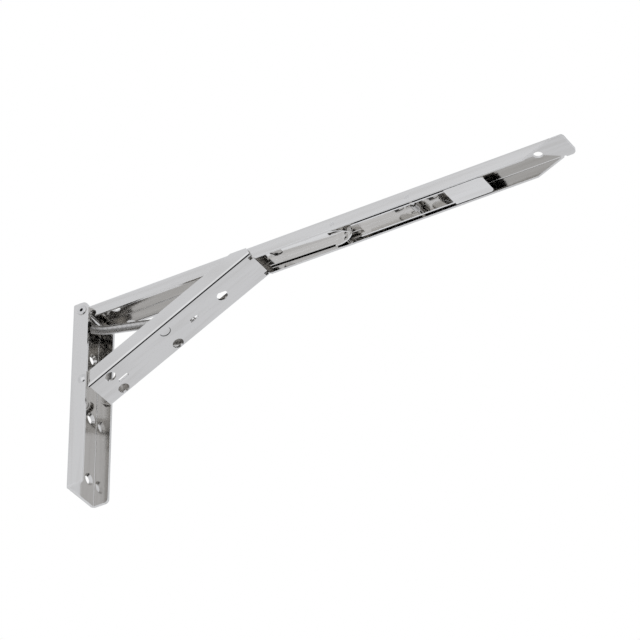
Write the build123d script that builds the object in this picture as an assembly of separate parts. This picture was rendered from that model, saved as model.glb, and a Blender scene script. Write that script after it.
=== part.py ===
from build123d import *
import os
from math import sin, cos, radians

# Folding shelf bracket, shown open: leg on the wall, arm level, brace between them.
# X runs away from the wall, Y across the width, Z up. Millimetres.
# The origin is the centre of the wall screw pattern on the leg's wall face.

# Leg
LEG_WIDTH = 30.0
LEG_DEPTH = 12.4
LEG_HEIGHT = 135.5
LEG_SHEET = 1.8
LEG_TOP_RADIUS = 5.0
LEG_FOOT_RADIUS = 2.6
LEG_BEND = 0.6

# Wall screws
SCREW_ROW_Z = 44.65
SCREW_SPREAD = 15.0
SCREW_BORE = 5.0
SCREW_SINK = 8.2
SCREW_SINK_DEPTH = 1.6

# Height of the arm's top face above the middle screw row
TOP_Z = 73.65

# Pivots, measured from the wall face and down from the arm's top face
ARM_PIVOT_X = 7.5
ARM_PIVOT_DROP = 6.0
BRACE_PIVOT_X = 9.6
BRACE_PIVOT_DROP = 58.7

# Arm
ARM_WIDTH = 21.0
ARM_DEPTH = 9.6
ARM_SHEET = 1.5
ARM_BEND = 0.6
ARM_REAR_X = 2.6
ARM_TIP_X = 350.0
ARM_EAR_RADIUS = 4.9
ARM_NOTCH_X = 12.7
ARM_NOTCH_DROP = 7.5
ARM_NOTCH_RADIUS = 2.6
TIP_SLOPE_START_X = ARM_TIP_X - 27.0
TIP_SLOPE_END_X = ARM_TIP_X - 9.0
TIP_RELIEF_RADIUS = 0.9
TIP_CORNER_RADIUS = 4.0
SHELF_HOLES_X = (23.0, 118.0, ARM_TIP_X - 21.5)
SHELF_BORE = 6.0

# Brace
BRACE_ANGLE = 25.9
BRACE_SIDE_GAP = 0.4
BRACE_WIDTH = LEG_WIDTH - 2 * (LEG_SHEET + BRACE_SIDE_GAP)
BRACE_SHEET = 1.5
BRACE_BEND = 0.7
BRACE_WEB_T = -7.4
BRACE_EDGE_T = 3.8
BRACE_WEB_START = 1.0
BRACE_END = 132.0
BRACE_EAR_RADIUS = 4.2
BRACE_TOP_DROP = 2.2
BRACE_HOLE = 7.4
BRACE_HOLE_ROW_1 = 14.7
BRACE_HOLE_ROW_2 = 59.5
BRACE_HOLE_SINGLE = 101.0
BRACE_SLOT_AT = 19.8
BRACE_SLOT_LENGTH = 8.0
BRACE_SLOT_WIDTH = 2.4
HOOK_SLOT_AT = 78.8
HOOK_SLOT_LENGTH = 5.0
HOOK_SLOT_WIDTH = 2.4
TONGUE_HALF = 8.0
TONGUE_RELIEF_HALF = 11.0
TONGUE_RELIEF_DEPTH = 2.7
DISC_DEEP = 0.4
DISC_STEP = 0.1

# Seats of the brace's end in the arm's flanges, cut in the brace's own axes
SEAT_GAP = 0.1
SEAT_END = BRACE_END - 2.3
BRACE_END_X = BRACE_PIVOT_X + BRACE_END * cos(radians(BRACE_ANGLE))
BRACE_END_X -= BRACE_WEB_T * sin(radians(BRACE_ANGLE))
SEAT_RAMP = ((-3.0, -7.0), (2.8, -10.0), (-11.6, -10.0))

# Rivets and pins
RUNNING = 0.05
PIVOT_SHANK = 4.0
PIVOT_BORE = 2.4
PIVOT_HEAD = 6.6
PIVOT_HEAD_HIGH = 0.8
RIVET_SHANK = 4.6
RIVET_HEAD = 6.2
RIVET_DOME = 1.3
RIVET_FOOT = 5.6
RIVET_FOOT_HIGH = 0.45
SPACER_OUTER = 7.6
SPACER_GAP = 0.1
LEVER_PIN = 3.0
LEVER_PIN_X = 243.0
LEVER_PIN_DROP = 6.2
LOCK_PIN = 2.6
LOCK_PIN_X = 190.0
LOCK_PIN_DROP = 6.2
LOCK_RIVET_PROUD = 0.4

# Release lever
LEVER_SHEET = 1.0
LEVER_WIDTH = 14.0
LEVER_TOP_DROP = 1.8
LEVER_START_X = 201.0
LEVER_RAMP_X = 257.0
LEVER_RAMP_END_X = 268.0
LEVER_EDGE_DROP = 9.0
NOSE_WIDTH = 2.4
NOSE_START_X = 176.5
LEVER_TONGUE_WIDTH = 16.4
LEVER_TONGUE_END_X = 294.0
LEVER_TONGUE_DROP = 9.4
LEVER_TONGUE_RADIUS = 2.5
LEVER_HOLE_1_X = 230.0
LEVER_HOLE_1 = 9.0
LEVER_HOLE_2_X = 254.0
LEVER_HOLE_2 = 10.0

# Lock lever
LOCK_SHEET = 0.8
LOCK_WIDTH = 16.0
LOCK_TILT = 1.73
LOCK_START_X = BRACE_END_X + 2.4
LOCK_CURVE_X = 183.0
LOCK_CURVE = 18.8
LOCK_WEB_DROP = 4.25
LOCK_EDGE_DROP = 6.9
LOCK_EAR_DROP = 8.6
LOCK_EAR_X = 182.0
LOCK_SLOT = 2.4
LOCK_SLOT_X = 180.9
LOCK_HOLE_X = LOCK_START_X + 8.8
LOCK_HOLE = 8.4

# Springs
SPRING_RADIUS = 3.0
SPRING_WIRE = 1.0
SPRING_BEND = ((5.2, -10.9), (7.4, -12.1), (11.2, -13.8), (15.1, -15.1), (18.9, -16.1), (22.8, -17.0))
SPRING_SLOPE = 12.9
SPRING_STRAIGHT = 52.4
HOOK_REACH = 2.85
HOOK_AT = 78.2
COIL_WIRE = 0.7
COIL_LENGTH = 6.0


def place(shape):
    # Pieces are drawn with the arm's top face at Z = 0, then lifted to the datum.
    return Pos(0, 0, TOP_Z) * shape


def save(shape, name):
    part = Part() + shape
    part.label = name
    export_step(part, f"parts/{name}.step")


def box(x0, x1, y0, y1, z0, z1):
    middle = ((x0 + x1) / 2, (y0 + y1) / 2, (z0 + z1) / 2)
    return Pos(*middle) * Box(x1 - x0, y1 - y0, z1 - z0)


def rod(x, z, radius, y0, y1):
    # Round bar along Y.
    return Pos(x, (y0 + y1) / 2, z) * Rot(90, 0, 0) * Cylinder(radius, y1 - y0)


def drill(x, y, radius, z0, z1):
    # Round bar along Z.
    return Pos(x, y, (z0 + z1) / 2) * Cylinder(radius, z1 - z0)


def side_plate(points, y0, y1):
    # Outline in X and Z, thick along Y.
    face = make_face(Polyline(*[(x, y0, z) for x, z in points], close=True))
    return extrude(face, amount=y1 - y0, dir=(0, 1, 0))


def channel(width, depth, sheet, bend, x0, x1):
    # Bent sheet open downwards, its web's outer face at Z = 0, running along X.
    outer = box(x0, x1, -width / 2, width / 2, -depth, 0)
    outer = fillet(top_edges(outer), bend + sheet)
    inside = width / 2 - sheet
    inner = box(x0 - 1, x1 + 1, -inside, inside, -depth - 1, -sheet)
    inner = fillet(top_edges(inner), bend)
    return outer - inner


def top_edges(shape):
    edges = shape.edges().filter_by(Axis.X)
    return edges.group_by(Axis.Z)[-1]


def wall_leg():
    body = channel(LEG_WIDTH, LEG_DEPTH, LEG_SHEET, LEG_BEND, 0, LEG_HEIGHT)
    # Stand the channel up: its web goes to the wall and its open side away from it.
    body = Rot(0, 90, 0) * body
    body = Rot(0, 0, 180) * body
    corners = body.edges().filter_by(Axis.Y).group_by(Axis.X)[-1].sort_by(Axis.Z)
    foot = [edge for edge in corners if edge.center().Z < -LEG_HEIGHT / 2]
    body = fillet(foot, LEG_FOOT_RADIUS)
    corners = body.edges().filter_by(Axis.Y).group_by(Axis.X)[-1]
    head = [edge for edge in corners if edge.center().Z > -LEG_HEIGHT / 2]
    body = fillet(head, LEG_TOP_RADIUS)
    for row in (-1, 0, 1):
        for side in (-1, 1):
            y = side * SCREW_SPREAD / 2
            z = -TOP_Z + row * SCREW_ROW_Z
            bore = Pos(LEG_SHEET / 2, y, z) * Rot(0, 90, 0) * Cylinder(SCREW_BORE / 2, LEG_SHEET * 3)
            sink = Cone(SCREW_BORE / 2, SCREW_SINK / 2, SCREW_SINK_DEPTH)
            sink = Pos(LEG_SHEET - SCREW_SINK_DEPTH / 2, y, z) * Rot(0, 90, 0) * sink
            body -= bore
            body -= sink
    body -= rod(ARM_PIVOT_X, -ARM_PIVOT_DROP, PIVOT_SHANK / 2 + RUNNING, -LEG_WIDTH, LEG_WIDTH)
    body -= rod(BRACE_PIVOT_X, -BRACE_PIVOT_DROP, RIVET_SHANK / 2 + RUNNING, -LEG_WIDTH, LEG_WIDTH)
    return body


def in_brace_frame(shape):
    # From the brace's own axes (length, width, height) to the open pose.
    return Pos(BRACE_PIVOT_X, 0, -BRACE_PIVOT_DROP) * Rot(0, -BRACE_ANGLE, 0) * shape


def arm():
    body = channel(ARM_WIDTH, ARM_DEPTH, ARM_SHEET, ARM_BEND, ARM_REAR_X, ARM_TIP_X)
    half = ARM_WIDTH / 2
    low = -ARM_DEPTH - 1
    # Rear end: the flanges are rounded about the pivot.
    pivot_z = -ARM_PIVOT_DROP
    rear = box(ARM_REAR_X - 1, ARM_PIVOT_X, -half - 1, half + 1, low, pivot_z)
    rear -= rod(ARM_PIVOT_X, pivot_z, ARM_EAR_RADIUS, -half - 1, half + 1)
    body -= rear
    body -= rod(ARM_PIVOT_X, pivot_z, PIVOT_SHANK / 2 + RUNNING, -half - 1, half + 1)
    body -= rod(ARM_NOTCH_X, -ARM_NOTCH_DROP, ARM_NOTCH_RADIUS, -half - 1, half + 1)
    # Seats for the end of the brace, cut square to it.
    seat_t = BRACE_WEB_T + BRACE_SHEET + SEAT_GAP
    seat = box(BRACE_END - 40, SEAT_END, -half - 1, half + 1, seat_t - 30, seat_t)
    body -= in_brace_frame(seat)
    ramp = [(BRACE_END_X + x, z) for x, z in SEAT_RAMP]
    body -= side_plate(ramp, -half - 1, half + 1)
    # Sloped ends of the flanges, with a round relief where each bend stops.
    slope = [(TIP_SLOPE_START_X, low), (TIP_SLOPE_START_X, -ARM_DEPTH), (TIP_SLOPE_END_X, -ARM_SHEET)]
    slope += [(ARM_TIP_X + 1, -ARM_SHEET), (ARM_TIP_X + 1, low)]
    body -= side_plate(slope, -half - 1, half + 1)
    for side in (-1, 1):
        body -= drill(TIP_SLOPE_END_X + TIP_RELIEF_RADIUS, side * (half - 0.4), TIP_RELIEF_RADIUS, low, 1)
    # Rounded corners of the end tongue.
    corner = box(ARM_TIP_X - TIP_CORNER_RADIUS, ARM_TIP_X + 1, half - TIP_CORNER_RADIUS, half + 1, low, 1)
    corner -= drill(ARM_TIP_X - TIP_CORNER_RADIUS, half - TIP_CORNER_RADIUS, TIP_CORNER_RADIUS, low - 1, 2)
    body -= corner
    body -= mirror(corner, Plane.XZ)
    for x in SHELF_HOLES_X:
        body -= drill(x, 0, SHELF_BORE / 2, -ARM_SHEET - 1, 1)
    # Bores of the two levers' pins.
    body -= rod(LEVER_PIN_X, -LEVER_PIN_DROP, LEVER_PIN / 2 + RUNNING, -half - 1, half + 1)
    body -= rod(LOCK_PIN_X, -LOCK_PIN_DROP, LOCK_PIN / 2 + RUNNING, -half - 1, half + 1)
    return body


def brace():
    # Drawn along its own length: s along X from the pivot, height t along Z, web below.
    height = BRACE_EDGE_T - BRACE_WEB_T
    body = channel(BRACE_WIDTH, height, BRACE_SHEET, BRACE_BEND, -10, BRACE_END)
    # The channel helper is open downwards, so it is turned over.
    body = Pos(0, 0, BRACE_WEB_T) * mirror(body, Plane.XY)
    half = BRACE_WIDTH / 2 + 1
    inside = BRACE_WIDTH / 2 - BRACE_SHEET
    # The ear is rounded about the pivot, and the web starts just past it.
    low = BRACE_WEB_T - 1
    ear = [(-12, low), (BRACE_WEB_START, low), (BRACE_WEB_START, BRACE_WEB_T)]
    ear += [(-BRACE_EAR_RADIUS * 0.8, -BRACE_EAR_RADIUS * 0.6), (-12, -BRACE_EAR_RADIUS * 0.6)]
    body -= side_plate(ear, -half, half)
    end = box(-12, 0, -half, half, low, BRACE_EDGE_T + 1)
    end -= rod(0, 0, BRACE_EAR_RADIUS, -half - 1, half + 1)
    toe = [(0, low - 1), (0.1, low - 1), (0.1, 0)]
    toe += [(-BRACE_EAR_RADIUS * 0.8, -BRACE_EAR_RADIUS * 0.6), (BRACE_WEB_START, BRACE_WEB_T)]
    end -= side_plate(toe, -half - 1, half + 1)
    body -= end
    body -= box(-12, BRACE_WEB_START, -inside, inside, low, BRACE_EDGE_T + 1)
    # The top corner of each flange is cut level with the arm's top.
    world = box(0, 200, -half, half, -BRACE_TOP_DROP, 60)
    back = Rot(0, BRACE_ANGLE, 0) * Pos(-BRACE_PIVOT_X, 0, BRACE_PIVOT_DROP) * world
    body -= back
    # Pivot bore, web holes, slots and the relief beside the end tongue.
    body -= rod(0, 0, RIVET_SHANK / 2 + RUNNING, -half, half)
    for s in (BRACE_HOLE_ROW_1, BRACE_HOLE_ROW_2):
        for side in (-1, 1):
            if s == BRACE_HOLE_ROW_2 and side < 0:
                continue
            body -= drill(s, side * SCREW_SPREAD / 2, BRACE_HOLE / 2, low, BRACE_WEB_T + 3)
    body -= drill(BRACE_HOLE_SINGLE, 0, BRACE_HOLE / 2, low, BRACE_WEB_T + 3)
    body -= slot(BRACE_SLOT_AT, BRACE_SLOT_LENGTH, BRACE_SLOT_WIDTH, low)
    body -= slot(HOOK_SLOT_AT, HOOK_SLOT_LENGTH, HOOK_SLOT_WIDTH, low)
    for side in (-1, 1):
        y0, y1 = sorted((side * TONGUE_HALF, side * TONGUE_RELIEF_HALF))
        body -= box(BRACE_END - TONGUE_RELIEF_DEPTH, BRACE_END + 1, y0, y1, low, BRACE_WEB_T + 3)
    # Closed knock-out: a disc pushed half-way into the web.
    top = BRACE_WEB_T + BRACE_SHEET + DISC_STEP
    ring_top = BRACE_WEB_T + DISC_DEEP
    body -= drill(BRACE_HOLE_ROW_2, -SCREW_SPREAD / 2, BRACE_HOLE / 2, BRACE_WEB_T - 0.01, ring_top)
    body += drill(BRACE_HOLE_ROW_2, -SCREW_SPREAD / 2, BRACE_HOLE / 2 - 0.2, BRACE_WEB_T + 1, top)
    return in_brace_frame(body)


def slot(at, length, width, low):
    reach = (length - width) / 2
    web = box(at - reach, at + reach, -width / 2, width / 2, low, BRACE_WEB_T + 3)
    for end in (-1, 1):
        web += drill(at + end * (length - width) / 2, 0, width / 2, low, BRACE_WEB_T + 3)
    return web


def arm_pivot():
    half = LEG_WIDTH / 2
    z = -ARM_PIVOT_DROP
    body = rod(ARM_PIVOT_X, z, PIVOT_SHANK / 2, -half - PIVOT_HEAD_HIGH, half + PIVOT_HEAD_HIGH)
    for side in (-1, 1):
        y0, y1 = sorted((side * half, side * (half + PIVOT_HEAD_HIGH)))
        head = rod(ARM_PIVOT_X, z, PIVOT_HEAD / 2, y0, y1)
        rim = head.edges().filter_by(GeomType.CIRCLE).sort_by(Axis.Y)
        head = fillet(rim[-1] if side > 0 else rim[0], PIVOT_HEAD_HIGH * 0.6)
        body += head
    body -= rod(ARM_PIVOT_X, z, PIVOT_BORE / 2, -half - 2, half + 2)
    return body


def brace_rivet(side):
    half = LEG_WIDTH / 2
    z = -BRACE_PIVOT_DROP
    inner = BRACE_WIDTH / 2 - BRACE_SHEET
    shank = rod(BRACE_PIVOT_X, z, RIVET_SHANK / 2, inner - RIVET_FOOT_HIGH, half)
    foot = rod(BRACE_PIVOT_X, z, RIVET_FOOT / 2, inner - RIVET_FOOT_HIGH, inner)
    radius = ((RIVET_HEAD / 2) ** 2 + RIVET_DOME ** 2) / (2 * RIVET_DOME)
    ball = Pos(BRACE_PIVOT_X, half + RIVET_DOME - radius, z) * Sphere(radius)
    dome = ball & rod(BRACE_PIVOT_X, z, RIVET_HEAD, half, half + RIVET_DOME + 1)
    body = shank + foot + dome
    if side < 0:
        body = mirror(body, Plane.XZ)
    return body


def arm_spacer(side):
    inner = ARM_WIDTH / 2 + SPACER_GAP
    outer = LEG_WIDTH / 2 - LEG_SHEET - SPACER_GAP
    y0, y1 = sorted((side * inner, side * outer))
    body = rod(ARM_PIVOT_X, -ARM_PIVOT_DROP, SPACER_OUTER / 2, y0, y1)
    return body - rod(ARM_PIVOT_X, -ARM_PIVOT_DROP, PIVOT_SHANK / 2 + RUNNING, y0 - 1, y1 + 1)


def release_lever():
    half = LEVER_WIDTH / 2
    inside = half - LEVER_SHEET
    web_low = -LEVER_TOP_DROP - LEVER_SHEET
    tongue_top = -LEVER_TONGUE_DROP + LEVER_SHEET
    side = [(LEVER_START_X, -LEVER_TOP_DROP), (LEVER_RAMP_X, -LEVER_TOP_DROP)]
    side += [(LEVER_RAMP_END_X, tongue_top)]
    side += [(LEVER_RAMP_END_X, -LEVER_EDGE_DROP), (LEVER_START_X, -LEVER_EDGE_DROP)]
    body = side_plate(side, -half, half)
    edges = body.edges().filter_by(Axis.X).group_by(Axis.Z)[-1]
    body = fillet(edges, 1.3)
    hollow = [(LEVER_START_X - 1, web_low), (LEVER_RAMP_X - 0.4, web_low)]
    hollow += [(LEVER_RAMP_END_X - 0.6, -LEVER_TONGUE_DROP)]
    hollow += [(LEVER_RAMP_END_X - 0.6, -LEVER_EDGE_DROP - 1), (LEVER_START_X - 1, -LEVER_EDGE_DROP - 1)]
    body -= side_plate(hollow, -inside, inside)
    wide = LEVER_TONGUE_WIDTH / 2
    plate = box(LEVER_RAMP_END_X - 0.6, LEVER_TONGUE_END_X, -wide, wide, -LEVER_TONGUE_DROP, tongue_top)
    ends = plate.edges().filter_by(Axis.Z).group_by(Axis.X)[-1]
    plate = fillet(ends, LEVER_TONGUE_RADIUS)
    body += plate
    body += box(NOSE_START_X, LEVER_START_X + 1, -NOSE_WIDTH / 2, NOSE_WIDTH / 2, web_low, -LEVER_TOP_DROP)
    body -= drill(LEVER_HOLE_1_X, 0, LEVER_HOLE_1 / 2, web_low - 1, 0)
    body -= drill(LEVER_HOLE_2_X, 0, LEVER_HOLE_2 / 2, web_low - 3, 0)
    body -= rod(LEVER_PIN_X, -LEVER_PIN_DROP, LEVER_PIN / 2 + RUNNING, -half - 1, half + 1)
    return body


def pointed(half, radius, start, z0, z1):
    # Plate whose far end runs to a point between two arcs.
    plate = box(start, LOCK_CURVE_X, -half, half, z0, z1)
    tip = box(LOCK_CURVE_X, LOCK_CURVE_X + radius, -half, half, z0, z1)
    tip &= drill(LOCK_CURVE_X, half - radius, radius, z0, z1)
    tip &= drill(LOCK_CURVE_X, radius - half, radius, z0, z1)
    return plate + tip


def lock_lever():
    half = LOCK_WIDTH / 2
    web_top = -LOCK_WEB_DROP + LOCK_SHEET
    outer = pointed(half, LOCK_CURVE, LOCK_START_X, -LOCK_EAR_DROP, web_top)
    inside = half - LOCK_SHEET
    inner = pointed(inside, LOCK_CURVE - LOCK_SHEET, LOCK_START_X - 1, -LOCK_EAR_DROP - 1, -LOCK_WEB_DROP)
    body = outer - inner
    body -= box(LOCK_START_X - 1, LOCK_EAR_X, -half - 1, half + 1, -LOCK_EAR_DROP - 1, -LOCK_EDGE_DROP)
    slot_end = LOCK_CURVE_X + LOCK_CURVE
    body -= box(LOCK_SLOT_X, slot_end, -LOCK_SLOT / 2, LOCK_SLOT / 2, -LOCK_EAR_DROP - 1, 0)
    body -= drill(LOCK_HOLE_X, 0, LOCK_HOLE / 2, -LOCK_WEB_DROP - 1, 0)
    body -= rod(LOCK_PIN_X, -LOCK_PIN_DROP, LOCK_PIN / 2 + RUNNING, -half - 1, half + 1)
    # At rest the far end from the release lever stands a little higher.
    turn = Pos(LOCK_PIN_X, 0, -LOCK_PIN_DROP) * Rot(0, LOCK_TILT, 0) * Pos(-LOCK_PIN_X, 0, LOCK_PIN_DROP)
    return turn * body


def release_lever_pin():
    half = ARM_WIDTH / 2
    return rod(LEVER_PIN_X, -LEVER_PIN_DROP, LEVER_PIN / 2, -half, half)


def lock_rivet(side):
    # Short rivet, flush outside, through the arm's flange and the lever's ear.
    ends = sorted((side * ARM_WIDTH / 2, side * (LOCK_WIDTH / 2 - LOCK_SHEET - LOCK_RIVET_PROUD)))
    return rod(LOCK_PIN_X, -LOCK_PIN_DROP, LOCK_PIN / 2, ends[0], ends[1])


def wire(points, radius):
    path = Polyline(*points)
    start = Plane(origin=points[0], z_dir=path % 0)
    return sweep(start * Circle(radius), path=path, transition=Transition.ROUND)


def spring_point(along):
    # A point on the straight part of the tension spring's axis.
    x, z = SPRING_BEND[-1]
    slope = radians(SPRING_SLOPE)
    return (x + along * cos(slope), 0, z - along * sin(slope))


def tension_spring():
    # Coil drawn as a tube that passes under the arm's pivot, with a hook round the pivot's back.
    bend = [(x, 0, z) for x, z in SPRING_BEND]
    slope = radians(SPRING_SLOPE)
    curve = Spline(*bend, tangents=[(0.87, 0, -0.49), (cos(slope), 0, -sin(slope))])
    start = Plane(origin=bend[0], z_dir=curve % 0)
    ring = start * (Circle(SPRING_RADIUS) - Circle(SPRING_RADIUS - SPRING_WIRE))
    bent = sweep(ring, path=curve)
    straight = Cylinder(SPRING_RADIUS, SPRING_STRAIGHT)
    straight -= Cylinder(SPRING_RADIUS - SPRING_WIRE, SPRING_STRAIGHT)
    x, y, z = spring_point(SPRING_STRAIGHT / 2)
    straight = Pos(x, y, z) * Rot(0, 90 + SPRING_SLOPE, 0) * straight
    points = []
    for i in range(15):
        a = radians(-95 - i * 12)
        points.append((ARM_PIVOT_X + HOOK_REACH * cos(a), 0, -ARM_PIVOT_DROP + HOOK_REACH * sin(a)))
    return bent + straight + wire(points, SPRING_WIRE / 2)


def tension_spring_hook():
    # Hook in the brace's slot, with a long shank that slides in the coil as the spring grows.
    c, s = cos(radians(BRACE_ANGLE)), sin(radians(BRACE_ANGLE))

    def at(along, up):
        return (BRACE_PIVOT_X + along * c - up * s, 0, -BRACE_PIVOT_DROP + along * s + up * c)

    low = BRACE_WEB_T - SPRING_WIRE / 2 - 0.3
    tail = [spring_point(2), spring_point(SPRING_STRAIGHT + 4), at(HOOK_AT, BRACE_WEB_T + 2)]
    tail += [at(HOOK_AT, low), at(HOOK_AT - 3, low)]
    return wire(tail, SPRING_WIRE / 2)


def release_lever_spring():
    z = -LEVER_PIN_DROP
    bore = LEVER_PIN / 2 + 0.35
    coil = rod(LEVER_PIN_X, z, bore + COIL_WIRE, -COIL_LENGTH / 2, COIL_LENGTH / 2)
    coil -= rod(LEVER_PIN_X, z, bore, -COIL_LENGTH, COIL_LENGTH)
    y = COIL_LENGTH / 2 - COIL_WIRE / 2
    middle = bore + COIL_WIRE / 2
    top = -LEVER_TOP_DROP - LEVER_SHEET - 0.2 - COIL_WIRE / 2
    leg = wire([(LEVER_PIN_X, y, z + middle), (LEVER_PIN_X - 8, y, top)], COIL_WIRE / 2 - 0.05)
    return coil + leg


def build():
    os.makedirs("parts", exist_ok=True)
    save(place(wall_leg()), "wall_leg")
    save(place(arm()), "arm")
    save(place(brace()), "brace")
    save(place(release_lever()), "release_lever")
    save(place(lock_lever()), "lock_lever")
    save(place(arm_pivot()), "arm_pivot")
    save(place(brace_rivet(-1)), "brace_rivet_near")
    save(place(brace_rivet(1)), "brace_rivet_far")
    save(place(arm_spacer(-1)), "arm_spacer_near")
    save(place(arm_spacer(1)), "arm_spacer_far")
    save(place(release_lever_pin()), "release_lever_pin")
    save(place(lock_rivet(-1)), "lock_rivet_near")
    save(place(lock_rivet(1)), "lock_rivet_far")
    save(place(tension_spring()), "tension_spring")
    save(place(tension_spring_hook()), "tension_spring_hook")
    save(place(release_lever_spring()), "release_lever_spring")


build()
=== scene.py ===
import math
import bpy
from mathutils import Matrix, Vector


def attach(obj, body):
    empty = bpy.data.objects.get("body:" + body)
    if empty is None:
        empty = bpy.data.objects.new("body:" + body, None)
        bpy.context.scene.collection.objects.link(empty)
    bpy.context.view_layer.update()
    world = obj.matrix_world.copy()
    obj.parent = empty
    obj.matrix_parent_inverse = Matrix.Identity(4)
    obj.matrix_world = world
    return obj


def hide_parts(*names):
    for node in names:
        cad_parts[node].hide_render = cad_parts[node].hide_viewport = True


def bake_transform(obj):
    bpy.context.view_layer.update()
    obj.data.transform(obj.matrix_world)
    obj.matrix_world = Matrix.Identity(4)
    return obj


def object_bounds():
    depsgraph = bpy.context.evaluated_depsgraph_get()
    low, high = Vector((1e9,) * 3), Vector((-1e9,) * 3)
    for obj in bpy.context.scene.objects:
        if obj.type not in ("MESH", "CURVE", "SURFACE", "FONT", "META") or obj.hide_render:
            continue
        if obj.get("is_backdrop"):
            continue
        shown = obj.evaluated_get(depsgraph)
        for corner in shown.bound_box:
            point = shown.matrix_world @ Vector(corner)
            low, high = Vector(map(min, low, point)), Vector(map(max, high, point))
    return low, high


bl_info = {
    "name": "Folding Shelf Bracket",
    "version": (1, 0, 0),
    "blender": (4, 5, 0),
    "location": "3D View > Sidebar > Bracket",
    "description": "Dresses a polished folding shelf bracket and sets its white studio",
    "category": "Object",
}

import bpy
from bpy.props import FloatProperty, FloatVectorProperty, IntProperty, PointerProperty
from mathutils import Matrix, Vector

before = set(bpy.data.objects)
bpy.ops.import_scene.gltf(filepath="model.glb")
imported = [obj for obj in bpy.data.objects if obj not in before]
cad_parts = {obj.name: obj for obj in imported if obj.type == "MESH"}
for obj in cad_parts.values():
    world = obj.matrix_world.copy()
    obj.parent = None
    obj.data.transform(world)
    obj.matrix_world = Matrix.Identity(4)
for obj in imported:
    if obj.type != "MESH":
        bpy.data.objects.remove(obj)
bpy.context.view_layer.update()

MM = 0.001

# Millimetres. The pivot and the pin stand at X and a drop below the arm's top.
ARM_TOP_Z = 73.65
ARM_PIVOT = (7.5, -6.0)
LEVER_PIN = (243.0, -6.2)
# The brace's own axes start at its pivot, at X and Z, and are turned up by its angle.
BRACE_PIVOT = (9.6, ARM_TOP_Z - 58.7)
BRACE_ANGLE = math.radians(25.9)
BRACE_WEB_OUTSIDE = -7.4
HOOK_SLOT = 78.2
KNOCK_OUT = (59.5, -7.5)

# The long coil's axis: a bend by the leg, then a straight run down to the brace.
COIL_BEND = (
    (5.2, -10.9),
    (7.4, -12.1),
    (11.2, -13.8),
    (15.1, -15.1),
    (18.9, -16.1),
    (22.8, -17.0),
)
COIL_SLOPE = math.radians(12.9)
COIL_STRAIGHT = 52.4
# Along the coil from the arm's pivot: the share of turns in the front piece, then the hook round the pivot
# and the lever spring's size.
FRONT_SHARE = 41 / 70
HOOK_REACH = 2.85
HOOK_STEPS = 16
LEVER_COIL_INSIDE = 1.85
LEVER_COIL_WIDTH = 6.0

# How the surround's patches fade in, as the cosine of the angle off their middle.
DARK_FADE = (0.86, 0.955)
BRIGHT_FADE = (0.68, 0.95)
CLOUD_LEVELS = (0.9, 1.08)

# Directions of the grinding lines: the small number is the long way of the sheet.
LINES_UP = (30.0, 30.0, 1.5)
LINES_ALONG_ARM = (1.5, 30.0, 30.0)
LINES_ALONG_BRACE = (2.5, 30.0, 4.5)
LINES_ALONG_LEVER = (2.0, 25.0, 25.0)
LINES_ROUND_PIN = (20.0, 3.0, 20.0)
LINES_ALL_WAYS = (6.0, 6.0, 6.0)


class BracketSteel(bpy.types.PropertyGroup):
    """Colours and gloss of the bracket's steel pieces"""

    leg_colour: FloatVectorProperty(
        name="Leg Colour",
        description="Colour of the polished sheet that stands on the wall",
        subtype="COLOR",
        size=3,
        min=0.0,
        max=1.0,
        default=(0.65, 0.635, 0.612),
    )
    arm_colour: FloatVectorProperty(
        name="Arm Colour",
        description="Colour of the polished sheet of the long arm",
        subtype="COLOR",
        size=3,
        min=0.0,
        max=1.0,
        default=(0.65, 0.635, 0.612),
    )
    brace_colour: FloatVectorProperty(
        name="Brace Colour",
        description="Colour of the polished sheet of the slanted brace",
        subtype="COLOR",
        size=3,
        min=0.0,
        max=1.0,
        default=(0.655, 0.64, 0.618),
    )
    lever_colour: FloatVectorProperty(
        name="Lever Colour",
        description="Colour of the two pressed levers inside the arm",
        subtype="COLOR",
        size=3,
        min=0.0,
        max=1.0,
        default=(0.75, 0.735, 0.712),
    )
    pin_colour: FloatVectorProperty(
        name="Pin Colour",
        description="Colour of the pins, rivets and spacers",
        subtype="COLOR",
        size=3,
        min=0.0,
        max=1.0,
        default=(0.61, 0.598, 0.58),
    )
    wire_colour: FloatVectorProperty(
        name="Wire Colour",
        description="Colour of the drawn spring wire",
        subtype="COLOR",
        size=3,
        min=0.0,
        max=1.0,
        default=(0.56, 0.547, 0.528),
    )
    sheet_roughness: FloatProperty(
        name="Sheet Roughness",
        description="Roughness of the polished sheet between its grinding lines",
        min=0.0,
        max=1.0,
        default=0.075,
    )
    edge_radius: FloatProperty(
        name="Edge Radius",
        description="Rounding that the light finds on the sheet's cut edges",
        subtype="DISTANCE",
        min=0.0,
        default=0.00022,
    )


class BracketSprings(bpy.types.PropertyGroup):
    """Sizes of the two springs"""

    wire: FloatProperty(
        name="Wire",
        description="Wire diameter of the long tension spring",
        subtype="DISTANCE",
        min=0.0002,
        default=0.001,
    )
    coil_radius: FloatProperty(
        name="Coil Radius",
        description="Outer radius of the long tension spring",
        subtype="DISTANCE",
        min=0.001,
        default=0.003,
    )
    coil_turns: IntProperty(
        name="Coil Turns",
        description="Number of turns of the long tension spring",
        min=4,
        default=70,
    )
    lever_wire: FloatProperty(
        name="Lever Spring Wire",
        description="Wire diameter of the release lever's small spring",
        subtype="DISTANCE",
        min=0.0002,
        default=0.0007,
    )
    lever_turns: IntProperty(
        name="Lever Spring Turns",
        description="Number of turns of the release lever's small spring",
        min=2,
        default=7,
    )


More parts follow.
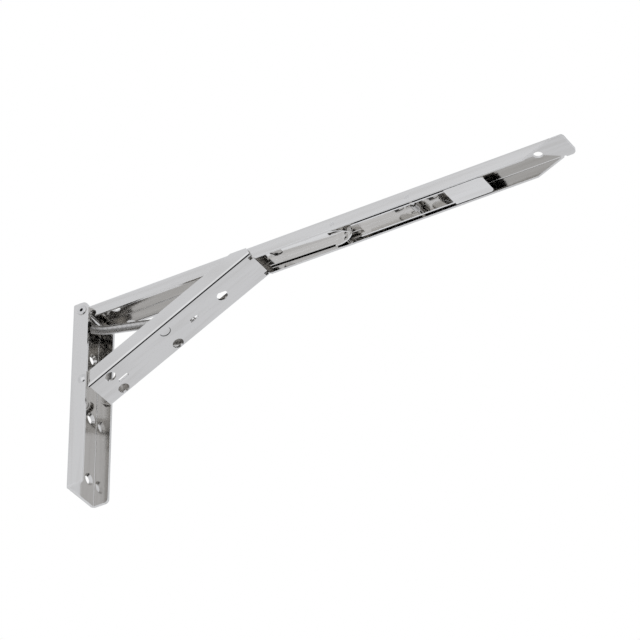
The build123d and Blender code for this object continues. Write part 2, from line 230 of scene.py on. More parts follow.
class BracketStudio(bpy.types.PropertyGroup):
    """Camera, light and floor of the studio"""

    camera_place: FloatVectorProperty(
        name="Camera Place",
        description="Where the camera stands, below and in front of the bracket",
        subtype="TRANSLATION",
        size=3,
        default=(1.1677, -1.6296, -1.32405),
    )
    camera_azimuth: FloatProperty(
        name="Camera Azimuth",
        description="Turn of the camera round the bracket",
        subtype="ANGLE",
        default=math.radians(31.57),
    )
    camera_elevation: FloatProperty(
        name="Camera Elevation",
        description="Height angle of the camera, below the horizon",
        subtype="ANGLE",
        default=math.radians(-34.9),
    )
    camera_roll: FloatProperty(
        name="Camera Roll",
        description="Turn of the picture",
        subtype="ANGLE",
        default=math.radians(-0.11),
    )
    lens: FloatProperty(
        name="Lens",
        description="Focal length in millimetres",
        min=1.0,
        default=215.3,
    )
    surround: FloatVectorProperty(
        name="Surround Colour",
        description="Colour of the white surround that the steel mirrors",
        subtype="COLOR",
        size=3,
        min=0.0,
        max=1.0,
        default=(1.0, 1.0, 1.0),
    )
    mirrored: FloatVectorProperty(
        name="Mirrored Colour",
        description="Colour of the surround as the steel mirrors it",
        subtype="COLOR",
        size=3,
        min=0.0,
        max=1.0,
        default=(0.86, 0.882, 0.93),
    )
    dark_side: FloatVectorProperty(
        name="Dark Side",
        description="Direction of the dark patch of the surround, on the camera's side",
        subtype="DIRECTION",
        size=3,
        default=(0.3, -0.7, -0.64),
    )
    dark_card: FloatProperty(
        name="Dark Card",
        description="Brightness of the dark patch of the surround",
        min=0.0,
        max=1.0,
        default=0.01,
    )
    bright_side: FloatVectorProperty(
        name="Bright Side",
        description="Direction of the bright patch of the surround, on the near side",
        subtype="DIRECTION",
        size=3,
        default=(0.0, -1.0, 0.05),
    )
    bright_card: FloatProperty(
        name="Bright Card",
        description="Brightness of the bright patch of the surround",
        min=1.0,
        max=4.0,
        default=1.35,
    )
    lamp_power: FloatProperty(
        name="Lamp Power",
        description="Power of the soft overhead lamp in watts",
        min=0.0,
        default=4.0,
    )
    floor_size: FloatProperty(
        name="Floor Size",
        description="Side of the floor plate",
        subtype="DISTANCE",
        min=0.5,
        default=8.0,
    )


def deselect():
    if bpy.context.mode != "OBJECT":
        bpy.ops.object.mode_set(mode="OBJECT")
    bpy.ops.object.select_all(action="DESELECT")


def pick(piece):
    deselect()
    piece.select_set(True)
    bpy.context.view_layer.objects.active = piece


def apply_place(piece):
    pick(piece)
    bpy.ops.object.transform_apply(location=True, rotation=True, scale=True)


def apply_modifier(piece, modifier):
    pick(piece)
    bpy.ops.object.modifier_apply(modifier=modifier.name)


def close_ends(piece):
    pick(piece)
    bpy.ops.object.mode_set(mode="EDIT")
    bpy.ops.mesh.select_all(action="SELECT")
    bpy.ops.mesh.remove_doubles(threshold=1e-6)
    bpy.ops.mesh.select_all(action="SELECT")
    bpy.ops.mesh.fill_holes(sides=0)
    bpy.ops.mesh.select_all(action="SELECT")
    bpy.ops.mesh.normals_make_consistent(inside=False)
    bpy.ops.object.mode_set(mode="OBJECT")


def join(pieces, name):
    deselect()
    for piece in pieces:
        piece.select_set(True)
    bpy.context.view_layer.objects.active = pieces[0]
    bpy.ops.object.join()
    joined = bpy.context.view_layer.objects.active
    joined.name = name
    joined.data.name = name
    return joined


def path_curve(name, points, thickness=0.0):
    """A curve through the points, in metres, open at both ends."""
    deselect()
    bpy.ops.curve.primitive_nurbs_path_add(location=(0, 0, 0))
    curve = bpy.context.view_layer.objects.active
    curve.name = name
    data = curve.data
    data.splines.clear()
    line = data.splines.new("NURBS")
    line.points.add(len(points) - 1)
    for place, point in zip(line.points, points):
        place.co = (point[0], point[1], point[2], 1.0)
    line.use_endpoint_u = True
    line.order_u = 3
    line.resolution_u = 8
    data.dimensions = "3D"
    data.twist_mode = "MINIMUM"
    data.bevel_depth = thickness / 2
    data.bevel_resolution = 3
    data.use_fill_caps = thickness > 0
    return curve


def wire_piece(name, points, thickness):
    wire = path_curve(name, points, thickness)
    pick(wire)
    bpy.ops.object.convert(target="MESH")
    wire = bpy.context.view_layer.objects.active
    close_ends(wire)
    return wire


def coil(name, radius, thickness, turns, length, sides=10, steps=22):
    """A closed helix from X = 0 to X = length, wound round the X axis."""
    deselect()
    middle = radius - thickness / 2
    bpy.ops.mesh.primitive_circle_add(
        vertices=sides,
        radius=thickness / 2,
        location=(middle, 0, thickness / 2),
        rotation=(math.pi / 2, 0, 0),
    )
    piece = bpy.context.view_layer.objects.active
    piece.name = name
    apply_place(piece)
    screw = piece.modifiers.new("Winding", "SCREW")
    screw.axis = "Z"
    screw.screw_offset = (length - thickness) / turns
    screw.iterations = turns
    screw.steps = steps
    screw.render_steps = steps
    screw.use_smooth_shade = True
    apply_modifier(piece, screw)
    piece.rotation_euler = (0, math.pi / 2, 0)
    apply_place(piece)
    close_ends(piece)
    return piece


def follow(piece, curve):
    bend = piece.modifiers.new("Bend", "CURVE")
    bend.object = curve
    bend.deform_axis = "POS_X"
    apply_modifier(piece, bend)


def smooth(piece, angle=40.0):
    pick(piece)
    bpy.ops.object.shade_smooth_by_angle(angle=math.radians(angle))


def group(name, inputs, outputs):
    tree = bpy.data.node_groups.new(name, "ShaderNodeTree")
    for label, kind, default in inputs:
        socket = tree.interface.new_socket(name=label, in_out="INPUT", socket_type=kind)
        if default is not None:
            socket.default_value = default
    for label, kind in outputs:
        tree.interface.new_socket(name=label, in_out="OUTPUT", socket_type=kind)
    start = tree.nodes.new("NodeGroupInput")
    start.location = (-900, 0)
    end = tree.nodes.new("NodeGroupOutput")
    end.location = (600, 0)
    return tree, start, end


def maths(tree, operation, first, second=None, clamp=False):
    node = tree.nodes.new("ShaderNodeMath")
    node.operation = operation
    node.use_clamp = clamp
    for socket, value in zip(node.inputs, (first, second)):
        if value is None:
            continue
        if isinstance(value, (int, float)):
            socket.default_value = value
        else:
            tree.links.new(value, socket)
    return node.outputs[0]


def grinding_lines():
    """Fine lines that polishing leaves along the sheet, as roughness and height."""
    tree, start, end = group(
        "Grinding Lines",
        (
            ("Along", "NodeSocketVector", (1.0, 1.0, 1.0)),
            ("Base Roughness", "NodeSocketFloat", 0.05),
            ("Spread", "NodeSocketFloat", 0.03),
            ("Fine Height", "NodeSocketFloat", 0.005),
        ),
        (("Roughness", "NodeSocketFloat"), ("Height", "NodeSocketFloat")),
    )
    place = tree.nodes.new("ShaderNodeTexCoord")
    stretch = tree.nodes.new("ShaderNodeVectorMath")
    stretch.operation = "MULTIPLY"
    tree.links.new(place.outputs["Object"], stretch.inputs[0])
    tree.links.new(start.outputs["Along"], stretch.inputs[1])
    lines = tree.nodes.new("ShaderNodeTexNoise")
    lines.inputs["Scale"].default_value = 60.0
    lines.inputs["Detail"].default_value = 3.0
    lines.inputs["Roughness"].default_value = 0.6
    tree.links.new(stretch.outputs[0], lines.inputs["Vector"])
    clouds = tree.nodes.new("ShaderNodeTexNoise")
    clouds.inputs["Scale"].default_value = 55.0
    clouds.inputs["Detail"].default_value = 2.0
    tree.links.new(place.outputs["Object"], clouds.inputs["Vector"])
    both = maths(tree, "ADD", lines.outputs["Fac"], clouds.outputs["Fac"])
    centred = maths(tree, "SUBTRACT", both, 1.0)
    spread = maths(tree, "MULTIPLY", centred, start.outputs["Spread"])
    rough = maths(tree, "ADD", spread, start.outputs["Base Roughness"], clamp=True)
    tree.links.new(rough, end.inputs["Roughness"])
    # Long shallow waves of the rolled sheet, with the fine lines on them.
    waves = tree.nodes.new("ShaderNodeTexNoise")
    waves.inputs["Scale"].default_value = 8.0
    waves.inputs["Detail"].default_value = 1.0
    tree.links.new(stretch.outputs[0], waves.inputs["Vector"])
    fine = maths(tree, "MULTIPLY", lines.outputs["Fac"], start.outputs["Fine Height"])
    height = maths(tree, "ADD", waves.outputs["Fac"], fine)
    tree.links.new(height, end.inputs["Height"])
    return tree


def edge_normal_and_highlight():
    """Normal for the rounded cut edges of sheet steel, and a mask for their painted highlight."""
    tree, start, end = group(
        "Edge Normal and Painted Highlight",
        (("Radius", "NodeSocketFloat", 0.0002),),
        (("Normal", "NodeSocketVector"), ("Mask", "NodeSocketFloat")),
    )
    bevel = tree.nodes.new("ShaderNodeBevel")
    bevel.samples = 6
    tree.links.new(start.outputs["Radius"], bevel.inputs["Radius"])
    faces = tree.nodes.new("ShaderNodeNewGeometry")
    facing = tree.nodes.new("ShaderNodeVectorMath")
    facing.operation = "DOT_PRODUCT"
    tree.links.new(bevel.outputs["Normal"], facing.inputs[0])
    tree.links.new(faces.outputs["Normal"], facing.inputs[1])
    turned = maths(tree, "SUBTRACT", 1.0, facing.outputs["Value"])
    mask = maths(tree, "MULTIPLY", turned, 4.0, clamp=True)
    tree.links.new(bevel.outputs["Normal"], end.inputs["Normal"])
    tree.links.new(mask, end.inputs["Mask"])
    return tree


def handling_film():
    """A faint film that dulls the polish in long streaks, as a colour and a mask."""
    tree, start, end = group(
        "Handling Film",
        (
            ("Steel", "NodeSocketColor", (0.7, 0.7, 0.7, 1.0)),
            ("Tint", "NodeSocketColor", (0.6, 0.58, 0.55, 1.0)),
            ("Along", "NodeSocketVector", (1.0, 1.0, 1.0)),
            ("Scale", "NodeSocketFloat", 10.0),
            ("Amount", "NodeSocketFloat", 0.4),
        ),
        (("Colour", "NodeSocketColor"), ("Mask", "NodeSocketFloat")),
    )
    place = tree.nodes.new("ShaderNodeTexCoord")
    patches = tree.nodes.new("ShaderNodeTexNoise")
    patches.inputs["Detail"].default_value = 2.0
    stretch = tree.nodes.new("ShaderNodeVectorMath")
    stretch.operation = "MULTIPLY"
    tree.links.new(place.outputs["Object"], stretch.inputs[0])
    tree.links.new(start.outputs["Along"], stretch.inputs[1])
    tree.links.new(stretch.outputs[0], patches.inputs["Vector"])
    tree.links.new(start.outputs["Scale"], patches.inputs["Scale"])
    limits = tree.nodes.new("ShaderNodeMapRange")
    limits.inputs["From Min"].default_value = 0.45
    limits.inputs["From Max"].default_value = 0.75
    tree.links.new(patches.outputs["Fac"], limits.inputs["Value"])
    amount = maths(tree, "MULTIPLY", limits.outputs["Result"], start.outputs["Amount"])
    mix = tree.nodes.new("ShaderNodeMix")
    mix.data_type = "RGBA"
    tree.links.new(amount, mix.inputs["Factor"])
    tree.links.new(start.outputs["Steel"], mix.inputs["A"])
    tree.links.new(start.outputs["Tint"], mix.inputs["B"])
    tree.links.new(mix.outputs["Result"], end.inputs["Colour"])
    tree.links.new(amount, end.inputs["Mask"])
    return tree


def knock_out_shade_mask():
    """Mask for the painted shade in the gap on one side of the closed knock-out, seen on the brace's web.
    """
    tree, start, end = group(
        "Knock-out Painted Shade",
        (
            ("Centre", "NodeSocketVector", (0.0, 0.0, 0.0)),
            ("Along", "NodeSocketVector", (1.0, 0.0, 0.0)),
            ("Radius", "NodeSocketFloat", 0.0036),
            ("Half Width", "NodeSocketFloat", 0.00035),
        ),
        (("Mask", "NodeSocketFloat"),),
    )
    place = tree.nodes.new("ShaderNodeTexCoord")
    off = tree.nodes.new("ShaderNodeVectorMath")
    off.operation = "SUBTRACT"
    tree.links.new(place.outputs["Object"], off.inputs[0])
    tree.links.new(start.outputs["Centre"], off.inputs[1])
    along = tree.nodes.new("ShaderNodeVectorMath")
    along.operation = "DOT_PRODUCT"
    tree.links.new(off.outputs[0], along.inputs[0])
    tree.links.new(start.outputs["Along"], along.inputs[1])
    parts = tree.nodes.new("ShaderNodeSeparateXYZ")
    tree.links.new(off.outputs[0], parts.inputs[0])
    squares = maths(
        tree,
        "ADD",
        maths(tree, "MULTIPLY", along.outputs["Value"], along.outputs["Value"]),
        maths(tree, "MULTIPLY", parts.outputs["Y"], parts.outputs["Y"]),
    )
    off_ring = maths(tree, "SUBTRACT", maths(tree, "SQRT", squares), start.outputs["Radius"])
    away = maths(tree, "ABSOLUTE", off_ring)
    share = maths(tree, "DIVIDE", away, start.outputs["Half Width"])
    ring = maths(tree, "SUBTRACT", 1.0, share, clamp=True)
    # The painted shade of the gap goes on the far side only.
    past_middle = maths(tree, "ADD", parts.outputs["Y"], 0.0012)
    side = maths(tree, "MULTIPLY", past_middle, 700.0, clamp=True)
    tree.links.new(maths(tree, "MULTIPLY", ring, side, clamp=True), end.inputs["Mask"])
    return tree


def placed(material, tree):
    node = material.node_tree.nodes.new("ShaderNodeGroup")
    node.node_tree = tree
    return node


def steel(name, colour, roughness, along, edge_radius, spread=0.02, wave=0.00004):
    """Polished steel: grinding lines, a faint film and a painted highlight on the sheared edges."""
    material = bpy.data.materials.new(name)
    material.use_nodes = True
    links = material.node_tree.links
    nodes = material.node_tree.nodes
    shader = nodes["Principled BSDF"]
    shader.inputs["Metallic"].default_value = 1.0
    shader.inputs["IOR"].default_value = 2.5
    lines = placed(material, bpy.data.node_groups["Grinding Lines"])
    lines.inputs["Along"].default_value = along
    lines.inputs["Base Roughness"].default_value = roughness
    lines.inputs["Spread"].default_value = spread
    film = placed(material, bpy.data.node_groups["Handling Film"])
    film.inputs["Steel"].default_value = (*colour, 1.0)
    film.inputs["Tint"].default_value = (colour[0] * 0.8, colour[1] * 0.79, colour[2] * 0.77, 1.0)
    film.inputs["Along"].default_value = along
    edges = placed(material, bpy.data.node_groups["Edge Normal and Painted Highlight"])
    edges.inputs["Radius"].default_value = edge_radius
    # Painted highlight: the base colour goes near white where the bevel finds the sheared edges.
    painted_edge_highlight = nodes.new("ShaderNodeMix")
    painted_edge_highlight.data_type = "RGBA"
    painted_edge_highlight.inputs["B"].default_value = (0.93, 0.93, 0.94, 1.0)
    links.new(film.outputs["Colour"], painted_edge_highlight.inputs["A"])
    links.new(edges.outputs["Mask"], painted_edge_highlight.inputs["Factor"])
    links.new(painted_edge_highlight.outputs["Result"], shader.inputs["Base Color"])
    dulled = nodes.new("ShaderNodeMath")
    dulled.operation = "MULTIPLY_ADD"
    dulled.use_clamp = True
    links.new(film.outputs["Mask"], dulled.inputs[0])
    dulled.inputs[1].default_value = 0.04
    links.new(lines.outputs["Roughness"], dulled.inputs[2])
    links.new(dulled.outputs[0], shader.inputs["Roughness"])
    bump = nodes.new("ShaderNodeBump")
    bump.inputs["Strength"].default_value = 1.0
    bump.inputs["Distance"].default_value = wave
    links.new(lines.outputs["Height"], bump.inputs["Height"])
    links.new(edges.outputs["Normal"], bump.inputs["Normal"])
    links.new(bump.outputs["Normal"], shader.inputs["Normal"])
    return material


def paint_knock_out_shade(material):
    """Paint shade, nearly black, into the gap round the brace's closed knock-out."""
    nodes = material.node_tree.nodes
    links = material.node_tree.links
    shader = nodes["Principled BSDF"]
    gap = placed(material, bpy.data.node_groups["Knock-out Painted Shade"])
    gap.inputs["Centre"].default_value = on_brace(KNOCK_OUT[0], BRACE_WEB_OUTSIDE, KNOCK_OUT[1])
    gap.inputs["Along"].default_value = (math.cos(BRACE_ANGLE), 0.0, math.sin(BRACE_ANGLE))
    # Painted shade: the base colour goes nearly black in the knock-out's gap.
    dark = nodes.new("ShaderNodeMix")
    dark.data_type = "RGBA"
    dark.inputs["B"].default_value = (0.03, 0.03, 0.03, 1.0)
    links.new(shader.inputs["Base Color"].links[0].from_socket, dark.inputs["A"])
    links.new(gap.outputs["Mask"], dark.inputs["Factor"])
    links.new(dark.outputs["Result"], shader.inputs["Base Color"])


def dress(node_name, material):
    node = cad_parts[node_name]
    node.data.materials.clear()
    node.data.materials.append(material)
    for slot in node.material_slots:
        slot.material = material


class BRACKET_OT_effects(bpy.types.Operator):
    """Build the shader groups that the steel finishes share"""

    bl_idname = "bracket.effects"
    bl_label = "Build Surface Effects"

    def execute(self, context):
        grinding_lines()
        edge_normal_and_highlight()
        handling_film()
        knock_out_shade_mask()
        return {"FINISHED"}


class BRACKET_OT_channels(bpy.types.Operator):
    """Finish the leg, the arm and the brace as polished sheet"""

    bl_idname = "bracket.channels"
    bl_label = "Finish Channels"

    def execute(self, context):
        look = context.scene.bracket_steel
        rough = look.sheet_roughness
        edge = look.edge_radius
        dress("wall_leg", steel("Leg Steel", look.leg_colour, rough * 1.5, LINES_UP, edge, wave=0.00002))
        dress("arm", steel("Arm Steel", look.arm_colour, rough * 1.3, LINES_ALONG_ARM, edge, wave=0.00008))
        brace = steel("Brace Steel", look.brace_colour, rough, LINES_ALONG_BRACE, edge)
        paint_knock_out_shade(brace)
        dress("brace", brace)
        return {"FINISHED"}


class BRACKET_OT_levers(bpy.types.Operator):
    """Finish the release lever and the lock lever"""

    bl_idname = "bracket.levers"
    bl_label = "Finish Levers"

    def execute(self, context):
        look = context.scene.bracket_steel
        rough = look.sheet_roughness + 0.02
        edge = look.edge_radius
        for name, label in (("release_lever", "Release Lever Steel"), ("lock_lever", "Lock Lever Steel")):
            dress(name, steel(label, look.lever_colour, rough, LINES_ALONG_LEVER, edge))
        return {"FINISHED"}


class BRACKET_OT_pins(bpy.types.Operator):
    """Finish the rivets, pins and spacers"""

    bl_idname = "bracket.pins"
    bl_label = "Finish Pins"

    def execute(self, context):
        look = context.scene.bracket_steel
        turned = steel(
            "Pin Steel", look.pin_colour, 0.12, LINES_ROUND_PIN, 0.00012, spread=0.05, wave=0.00001
        )
        for name in (
            "arm_pivot",
            "brace_rivet_near",
            "brace_rivet_far",
            "arm_spacer_near",
            "arm_spacer_far",
            "release_lever_pin",
            "lock_rivet_near",
            "lock_rivet_far",
        ):
            dress(name, turned)
        return {"FINISHED"}


def at(x, drop, y=0.0):
    """A point from its distance to the wall and its drop below the arm's top, in millimetres."""
    return Vector((x * MM, y * MM, (ARM_TOP_Z + drop) * MM))


def on_brace(along, up, y=0.0):
    """A point in the brace's own axes, in millimetres."""
    c, s = math.cos(BRACE_ANGLE), math.sin(BRACE_ANGLE)
    x = BRACE_PIVOT[0] + along * c - up * s
    z = BRACE_PIVOT[1] + along * s + up * c
    return Vector((x * MM, y * MM, z * MM))


class BRACKET_OT_tension_spring(bpy.types.Operator):
    """Wind the long tension spring, with a hook round the arm's pivot and one in the brace"""

    bl_idname = "bracket.tension_spring"
    bl_label = "Wind Tension Spring"

    def execute(self, context):
        sizes = context.scene.bracket_springs
        last = COIL_BEND[-1]
        far = (
            last[0] + COIL_STRAIGHT * math.cos(COIL_SLOPE),
            last[1] - COIL_STRAIGHT * math.sin(COIL_SLOPE),
        )
        middle = ((last[0] + far[0]) / 2, (last[1] + far[1]) / 2)
        points = [at(x, drop) for x, drop in COIL_BEND + (middle, far)]
        axis = path_curve("coil_axis", points)
        length = sum((b - a).length for a, b in zip(points, points[1:]))
        pitch = (length - sizes.wire) / sizes.coil_turns
        front_turns = round(sizes.coil_turns * FRONT_SHARE)
        rear_turns = sizes.coil_turns - front_turns
        front_length = front_turns * pitch + sizes.wire
        rear_length = rear_turns * pitch + sizes.wire
        front_coil = coil("front_coil", sizes.coil_radius, sizes.wire, front_turns, front_length)
        rear_coil = coil("rear_coil", sizes.coil_radius, sizes.wire, rear_turns, rear_length)
        rear_coil.location.x = front_turns * pitch
        apply_place(rear_coil)
        follow(front_coil, axis)
        follow(rear_coil, axis)
        bpy.data.objects.remove(axis, do_unlink=True)
        # Front hook: from the coil's upper side round the back of the pivot.
        hook = []
        for step in range(HOOK_STEPS):
            angle = math.radians(-88 - step * 12)
            x = ARM_PIVOT[0] + HOOK_REACH * math.cos(angle)
            hook.append(at(x, ARM_PIVOT[1] + HOOK_REACH * math.sin(angle)))
        front = wire_piece("front_hook", hook, sizes.wire)
        # Rear hook: off the coil's rim to its middle, then through the brace's slot.
        rear = [
            at(far[0] - 1.2, far[1] + 2.7),
            at(far[0] + 1.2, far[1] + 2.2),
            at(far[0] + 3.2, far[1] - 0.2),
            on_brace(HOOK_SLOT - 0.8, BRACE_WEB_OUTSIDE + 3.2),
            on_brace(HOOK_SLOT, BRACE_WEB_OUTSIDE + 1.6),
            on_brace(HOOK_SLOT, BRACE_WEB_OUTSIDE - 0.7),
            on_brace(HOOK_SLOT - 1.0, BRACE_WEB_OUTSIDE - 0.85),
            on_brace(HOOK_SLOT - 3.0, BRACE_WEB_OUTSIDE - 0.8),
        ]
        back = wire_piece("rear_hook", rear, sizes.wire)
        look = context.scene.bracket_steel
        wire = steel(
            "Spring Wire", look.wire_colour, 0.15, LINES_ALL_WAYS, 0.00005, spread=0.03, wave=0.00001
        )
        near_wall = join([front_coil, front], "tension_spring_front")
        near_slot = join([rear_coil, back], "tension_spring_rear")
        for piece in (near_wall, near_slot):
            smooth(piece, 60.0)
            piece.data.materials.clear()
            piece.data.materials.append(wire)
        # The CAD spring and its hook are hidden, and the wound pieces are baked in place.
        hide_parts("tension_spring")
        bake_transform(near_wall)
        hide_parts("tension_spring_hook")
        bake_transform(near_slot)
        return {"FINISHED"}

    def along(self, reach):
        """A point on the coil's slope, from the arm's pivot."""
        x = ARM_PIVOT[0] + reach * math.cos(COIL_SLOPE)
        return tuple(at(x, ARM_PIVOT[1] - reach * math.sin(COIL_SLOPE)))


class BRACKET_OT_lever_spring(bpy.types.Operator):
    """Wind the small spring round the release lever's pin"""

    bl_idname = "bracket.lever_spring"
    bl_label = "Wind Lever Spring"

    def execute(self, context):
        sizes = context.scene.bracket_springs
        wire = sizes.lever_wire
        inner = LEVER_COIL_INSIDE * MM
        width = LEVER_COIL_WIDTH * MM
        winding = coil("lever_coil", inner + wire, wire, sizes.lever_turns, width, sides=8)
        winding.rotation_euler = (0, 0, math.pi / 2)
        winding.location = at(*LEVER_PIN, -LEVER_COIL_WIDTH / 2)
        apply_place(winding)
        pin_x, pin_drop = LEVER_PIN
        ring = inner / MM + wire / MM / 2
        side = width / MM / 2 - wire / MM / 2
        leg = [
            at(pin_x + ring * 0.4, pin_drop + ring * 0.9, side),
            at(pin_x, pin_drop + ring, side),
            at(pin_x - 3.0, pin_drop + ring + 0.1, side),
            at(pin_x - 8.0, -3.35, side),
        ]
        far_leg = wire_piece("lever_coil_leg", leg, wire)
        spring = join([winding, far_leg], "release_lever_wire")
        smooth(spring, 60.0)
        spring.data.materials.clear()
        spring.data.materials.append(bpy.data.materials["Spring Wire"])
        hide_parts("release_lever_spring")
        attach(spring, "arm")
        return {"FINISHED"}


class BRACKET_OT_stage(bpy.types.Operator):
    """Set the white studio: surround, floor, soft lamp and camera"""

    bl_idname = "bracket.stage"
    bl_label = "Set Studio"

    def execute(self, context):
        studio = context.scene.bracket_studio
        scene = context.scene
        scene.view_settings.view_transform = "Standard"
        self.surround(scene, studio)
        self.floor(studio)
        self.lamps(studio)
        self.camera(scene, studio)
        return {"FINISHED"}

    def surround(self, scene, studio):
        world = bpy.data.worlds.new("White Surround")
        scene.world = world
        world.use_nodes = True
        tree = world.node_tree
        tree.nodes.clear()
        out = tree.nodes.new("ShaderNodeOutputWorld")
        path = tree.nodes.new("ShaderNodeLightPath")
        white = tree.nodes.new("ShaderNodeBackground")
        white.inputs["Color"].default_value = (*studio.surround, 1.0)
        white.inputs["Strength"].default_value = 1.0
        # The steel mirrors a dark patch on the camera's side and a bright one to the near side.
        place = tree.nodes.new("ShaderNodeTexCoord")
        dark = self.patch(tree, place, studio.dark_side, DARK_FADE, studio.dark_card)
        bright = self.patch(tree, place, studio.bright_side, BRIGHT_FADE, studio.bright_card)
        clouds = tree.nodes.new("ShaderNodeTexNoise")
        clouds.inputs["Scale"].default_value = 3.2
        clouds.inputs["Detail"].default_value = 1.0
        tree.links.new(place.outputs["Generated"], clouds.inputs["Vector"])
        soft = tree.nodes.new("ShaderNodeMapRange")
        soft.inputs["From Min"].default_value = 0.3
        soft.inputs["From Max"].default_value = 0.7
        soft.inputs["To Min"].default_value = CLOUD_LEVELS[0]
        soft.inputs["To Max"].default_value = CLOUD_LEVELS[1]
        tree.links.new(clouds.outputs["Fac"], soft.inputs["Value"])
        both = maths(tree, "MULTIPLY", dark, bright)
        level = maths(tree, "MULTIPLY", both, soft.outputs["Result"])
        mirrored = tree.nodes.new("ShaderNodeBackground")
        tree.links.new(level, mirrored.inputs["Strength"])
        mirrored.inputs["Color"].default_value = (*studio.mirrored, 1.0)
        seen = maths(tree, "MAXIMUM", path.outputs["Is Camera Ray"], path.outputs["Is Transmission Ray"])
        seen = maths(tree, "MAXIMUM", seen, path.outputs["Is Diffuse Ray"])
        mix = tree.nodes.new("ShaderNodeMixShader")
        tree.links.new(seen, mix.inputs[0])
        tree.links.new(mirrored.outputs[0], mix.inputs[1])
        tree.links.new(white.outputs[0], mix.inputs[2])
        tree.links.new(mix.outputs[0], out.inputs["Surface"])

    def patch(self, tree, place, toward, fade, level):
        """1 all round, going over to level toward one direction."""
        facing = tree.nodes.new("ShaderNodeVectorMath")
        facing.operation = "DOT_PRODUCT"
        facing.inputs[1].default_value = Vector(toward).normalized()
        tree.links.new(place.outputs["Generated"], facing.inputs[0])
        shade = tree.nodes.new("ShaderNodeMapRange")
        shade.interpolation_type = "SMOOTHSTEP"
        shade.inputs["From Min"].default_value = fade[0]
        shade.inputs["From Max"].default_value = fade[1]
        shade.inputs["To Min"].default_value = 1.0
        shade.inputs["To Max"].default_value = level
        tree.links.new(facing.outputs["Value"], shade.inputs["Value"])
        return shade.outputs["Result"]

    def floor(self, studio):
        deselect()
        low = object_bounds()[0][2]
        bpy.ops.mesh.primitive_plane_add(size=studio.floor_size, location=(0.15, 0, low - 0.0006))
        floor = bpy.context.view_layer.objects.active
        floor.name = "studio_floor"
        apply_place(floor)
        pick(floor)
        bpy.ops.object.mode_set(mode="EDIT")
        bpy.ops.mesh.select_all(action="SELECT")
        bpy.ops.mesh.subdivide(number_cuts=4)
        bpy.ops.object.mode_set(mode="OBJECT")
        material = bpy.data.materials.new("Pale Floor")
        material.use_nodes = True
        tree = material.node_tree
        shader = tree.nodes["Principled BSDF"]
        shader.inputs["Base Color"].default_value = (0.85, 0.85, 0.85, 1.0)
        shader.inputs["Roughness"].default_value = 0.9
        glow = tree.nodes.new("ShaderNodeEmission")
        glow.inputs["Color"].default_value = (*studio.surround, 1.0)
        path = tree.nodes.new("ShaderNodeLightPath")
        seen = maths(tree, "MAXIMUM", path.outputs["Is Glossy Ray"], path.outputs["Is Transmission Ray"])
        mix = tree.nodes.new("ShaderNodeMixShader")
        tree.links.new(seen, mix.inputs[0])
        tree.links.new(shader.outputs[0], mix.inputs[1])
        tree.links.new(glow.outputs[0], mix.inputs[2])
        # Seen from below, the floor isn't there.
        clear = tree.nodes.new("ShaderNodeBsdfTransparent")
        faces = tree.nodes.new("ShaderNodeNewGeometry")
        under = tree.nodes.new("ShaderNodeMixShader")
        tree.links.new(faces.outputs["Backfacing"], under.inputs[0])
        tree.links.new(mix.outputs[0], under.inputs[1])
        tree.links.new(clear.outputs[0], under.inputs[2])
        tree.links.new(under.outputs[0], tree.nodes["Material Output"].inputs["Surface"])
        floor.data.materials.append(material)
        floor.visible_glossy = False
        floor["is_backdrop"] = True

    def lamps(self, studio):
        deselect()
        bpy.ops.object.light_add(type="AREA", location=(-0.6, -0.9, 1.3))
        lamp = bpy.context.view_layer.objects.active
        lamp.name = "soft_lamp"
        lamp.data.shape = "DISK"
        lamp.data.size = 1.4
        lamp.data.energy = studio.lamp_power
        aim = Vector((0.12, 0, 0)) - lamp.location
        lamp.rotation_euler = aim.to_track_quat("-Z", "Y").to_euler()
        lamp.visible_camera = False
        lamp.visible_glossy = False

    def camera(self, scene, studio):
        deselect()
        bpy.ops.object.camera_add(location=studio.camera_place)
        camera = bpy.context.view_layer.objects.active
        camera.name = "photo_camera"
        camera.rotation_euler = (math.pi / 2 - studio.camera_elevation, 0, studio.camera_azimuth)
        bpy.context.view_layer.update()
        camera.rotation_euler = (
            camera.rotation_euler.to_matrix() @ Matrix.Rotation(studio.camera_roll, 3, "Z")
        ).to_euler()
        camera.data.lens = studio.lens
        camera.data.sensor_width = 36.0
        camera.data.shift_x = 0.01845
        camera.data.shift_y = 0.0012
        camera.data.clip_start = 0.05
        camera.data.clip_end = 50.0
        scene.camera = camera


OPERATORS = (
    BRACKET_OT_effects,
    BRACKET_OT_channels,
    BRACKET_OT_levers,
    BRACKET_OT_pins,
    BRACKET_OT_tension_spring,
    BRACKET_OT_lever_spring,
    BRACKET_OT_stage,
)
SETTINGS = (BracketSteel, BracketSprings, BracketStudio)


class BRACKET_PT_panel(bpy.types.Panel):
    """Buttons and settings of the folding bracket"""

    bl_idname = "BRACKET_PT_panel"
    bl_label = "Folding Bracket"
    bl_space_type = "VIEW_3D"
    bl_region_type = "UI"
    bl_category = "Bracket"

    def draw(self, context):
        column = self.layout.column(align=True)
        for operator in OPERATORS:
            column.operator(operator.bl_idname)
        for label, settings in (
            ("Steel", context.scene.bracket_steel),
            ("Springs", context.scene.bracket_springs),
            ("Studio", context.scene.bracket_studio),
        ):
            box = self.layout.box()
            box.label(text=label)
            for name in settings.__annotations__:
                box.prop(settings, name)


def register():
    for item in SETTINGS + OPERATORS + (BRACKET_PT_panel,):
        bpy.utils.register_class(item)
    bpy.types.Scene.bracket_steel = PointerProperty(type=BracketSteel)
    bpy.types.Scene.bracket_springs = PointerProperty(type=BracketSprings)
    bpy.types.Scene.bracket_studio = PointerProperty(type=BracketStudio)


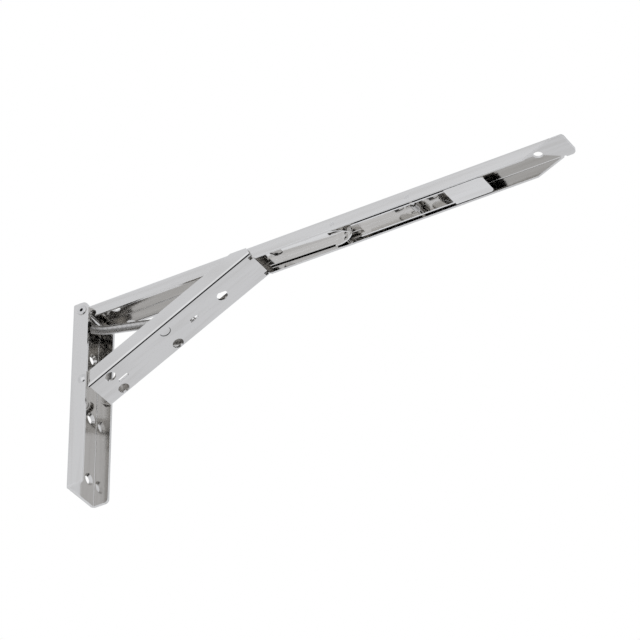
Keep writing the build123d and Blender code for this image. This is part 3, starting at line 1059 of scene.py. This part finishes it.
def unregister():
    del bpy.types.Scene.bracket_studio
    del bpy.types.Scene.bracket_springs
    del bpy.types.Scene.bracket_steel
    for item in reversed(SETTINGS + OPERATORS + (BRACKET_PT_panel,)):
        bpy.utils.unregister_class(item)


def main():
    register()
    bpy.ops.bracket.effects()
    bpy.ops.bracket.channels()
    bpy.ops.bracket.levers()
    bpy.ops.bracket.pins()
    bpy.ops.bracket.tension_spring()
    bpy.ops.bracket.lever_spring()
    bpy.ops.bracket.stage()


if __name__ == "__main__":
    main()
